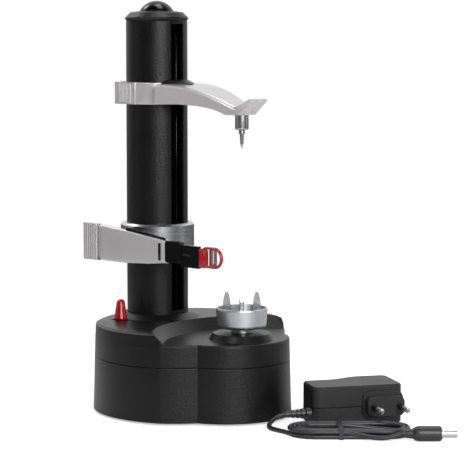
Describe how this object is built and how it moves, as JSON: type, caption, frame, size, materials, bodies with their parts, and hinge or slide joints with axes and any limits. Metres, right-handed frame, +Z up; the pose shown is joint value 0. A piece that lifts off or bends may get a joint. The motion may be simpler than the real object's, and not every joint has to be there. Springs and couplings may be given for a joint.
{
  "type": "electric potato peeler",
  "caption": "Tower peeler: round base, turntable cup with prongs, slotted column, sliding top arm with pin, sprung peel arm with red blade guard, mains adapter beside it.",
  "frame": {"origin": "centre of the peeler's bounding box, on the surface that it stands on", "axes": "+Z up along the tower, +X from the tower to the turntable, -Y the side with the peel arm and the switch"},
  "size_m": [0.2939, 0.1528, 0.2903],
  "materials": {
    "abs_black": "fine moulded satin black",
    "gloss_black": "smooth black",
    "silver_paint": "silver satin paint over die cast",
    "bright_steel": "polished",
    "blade_steel": "ground",
    "red_gloss": "glossy red",
    "rubber_black": "soft black",
    "gear_nylon": "natural nylon",
    "brass_bush": "sintered bronze",
    "cord_pvc": "soft black cord",
    "plated_pin": "nickel plated",
    "cup_aluminium": "satin turned"
  },
  "bodies": {
    "base": {"lower_housing": "abs_black", "upper_housing": "abs_black", "base_plate": "abs_black", "rubber_feet": "rubber_black", "housing_screws": "bright_steel", "battery_cover": "abs_black", "tower_tube": "abs_black", "tower_guide": "gloss_black", "tower_cap": "abs_black", "cap_dome": "gloss_black", "screw_bush": "brass_bush", "motor": "bright_steel", "motor_plate": "abs_black", "idler_pin": "bright_steel", "turntable_bush": "brass_bush", "dc_socket": "gloss_black", "switch_body": "abs_black", "adapter_base": "gloss_black", "adapter_lid": "gloss_black", "plug_block": "gloss_black", "plug_pins": "plated_pin", "pin_sleeves": "gloss_black", "cord_relief": "cord_pvc", "cord_lead": "cord_pvc", "cord_hank": "cord_pvc", "cord_tie": "cord_pvc", "cord_tail": "cord_pvc", "barrel_grip": "cord_pvc", "barrel_sleeve": "plated_pin"},
    "turntable": {"turntable_gear": "gear_nylon", "turntable_shaft": "bright_steel", "turntable_cup": "cup_aluminium", "turntable_prongs": "bright_steel", "centre_spike": "bright_steel"},
    "idler": {"idler_gear": "gear_nylon"},
    "pinion": {"motor_pinion": "brass_bush"},
    "screw": {"lead_screw": "bright_steel", "screw_gear": "gear_nylon"},
    "switch": {"switch_lever": "red_gloss"},
    "top_slide": {"top_arm": "silver_paint", "arm_core": "abs_black", "pin_holder": "plated_pin"},
    "release": {"release_button": "silver_paint"},
    "centre_pin": {"centre_pin": "bright_steel"},
    "carriage": {"peel_collar": "silver_paint", "half_nut": "gear_nylon", "hinge_pin": "bright_steel"},
    "peel_arm": {"arm_spring": "bright_steel", "peel_arm": "silver_paint", "arm_liner": "rubber_black", "thumb_grip": "silver_paint", "blade_holder": "gloss_black", "blade_guard": "red_gloss", "peel_blade": "blade_steel"}
  },
  "joints": [
    {"name": "turntable_spin", "type": "hinge", "parent": "base", "child": "turntable", "pos_m": [0.051, 0, 0.06], "axis": [0, 0, 1], "continuous": true},
    {"name": "idler_spin", "type": "hinge", "parent": "base", "child": "idler", "pos_m": [0.007, 0, 0.016], "axis": [0, 0, 1], "continuous": true},
    {"name": "motor_spin", "type": "hinge", "parent": "base", "child": "pinion", "pos_m": [-0.02167, -0.02007, 0.024], "axis": [0, 0, 1], "continuous": true},
    {"name": "screw_spin", "type": "hinge", "parent": "base", "child": "screw", "pos_m": [-0.035, 0, 0.06], "axis": [0, 0, 1], "continuous": true},
    {"name": "switch_tilt", "type": "hinge", "parent": "base", "child": "switch", "pos_m": [-0.035, -0.036, 0.0585], "axis": [0, 1, 0], "range_deg": [-16, 0]},
    {"name": "top_arm_slide", "type": "slide", "parent": "base", "child": "top_slide", "axis": [0, 0, 1], "range_m": [-0.038, 0.036]},
    {"name": "release_press", "type": "slide", "parent": "top_slide", "child": "release", "axis": [1, 0, 0], "range_m": [0, 0.002], "stiffness_N_per_m": 400, "springref_m": -0.001},
    {"name": "centre_pin_spin", "type": "hinge", "parent": "top_slide", "child": "centre_pin", "pos_m": [0.051, 0, 0.205], "axis": [0, 0, 1], "continuous": true},
    {"name": "peel_slide", "type": "slide", "parent": "base", "child": "carriage", "axis": [0, 0, 1], "range_m": [-0.025, 0.045]},
    {"name": "peel_arm_swing", "type": "hinge", "parent": "carriage", "child": "peel_arm", "pos_m": [-0.0355, -0.0283, 0.118], "axis": [0, 0, 1], "range_deg": [-12, 6], "stiffness_Nm_per_rad": 0.08, "springref_deg": 5.73}
  ],
  "couplings": [
    {"joint": "idler_spin", "follows": "turntable_spin", "ratio": -0.83333},
    {"joint": "motor_spin", "follows": "turntable_spin", "ratio": 3.8333},
    {"joint": "screw_spin", "follows": "turntable_spin", "ratio": 1.1111}
  ]
}
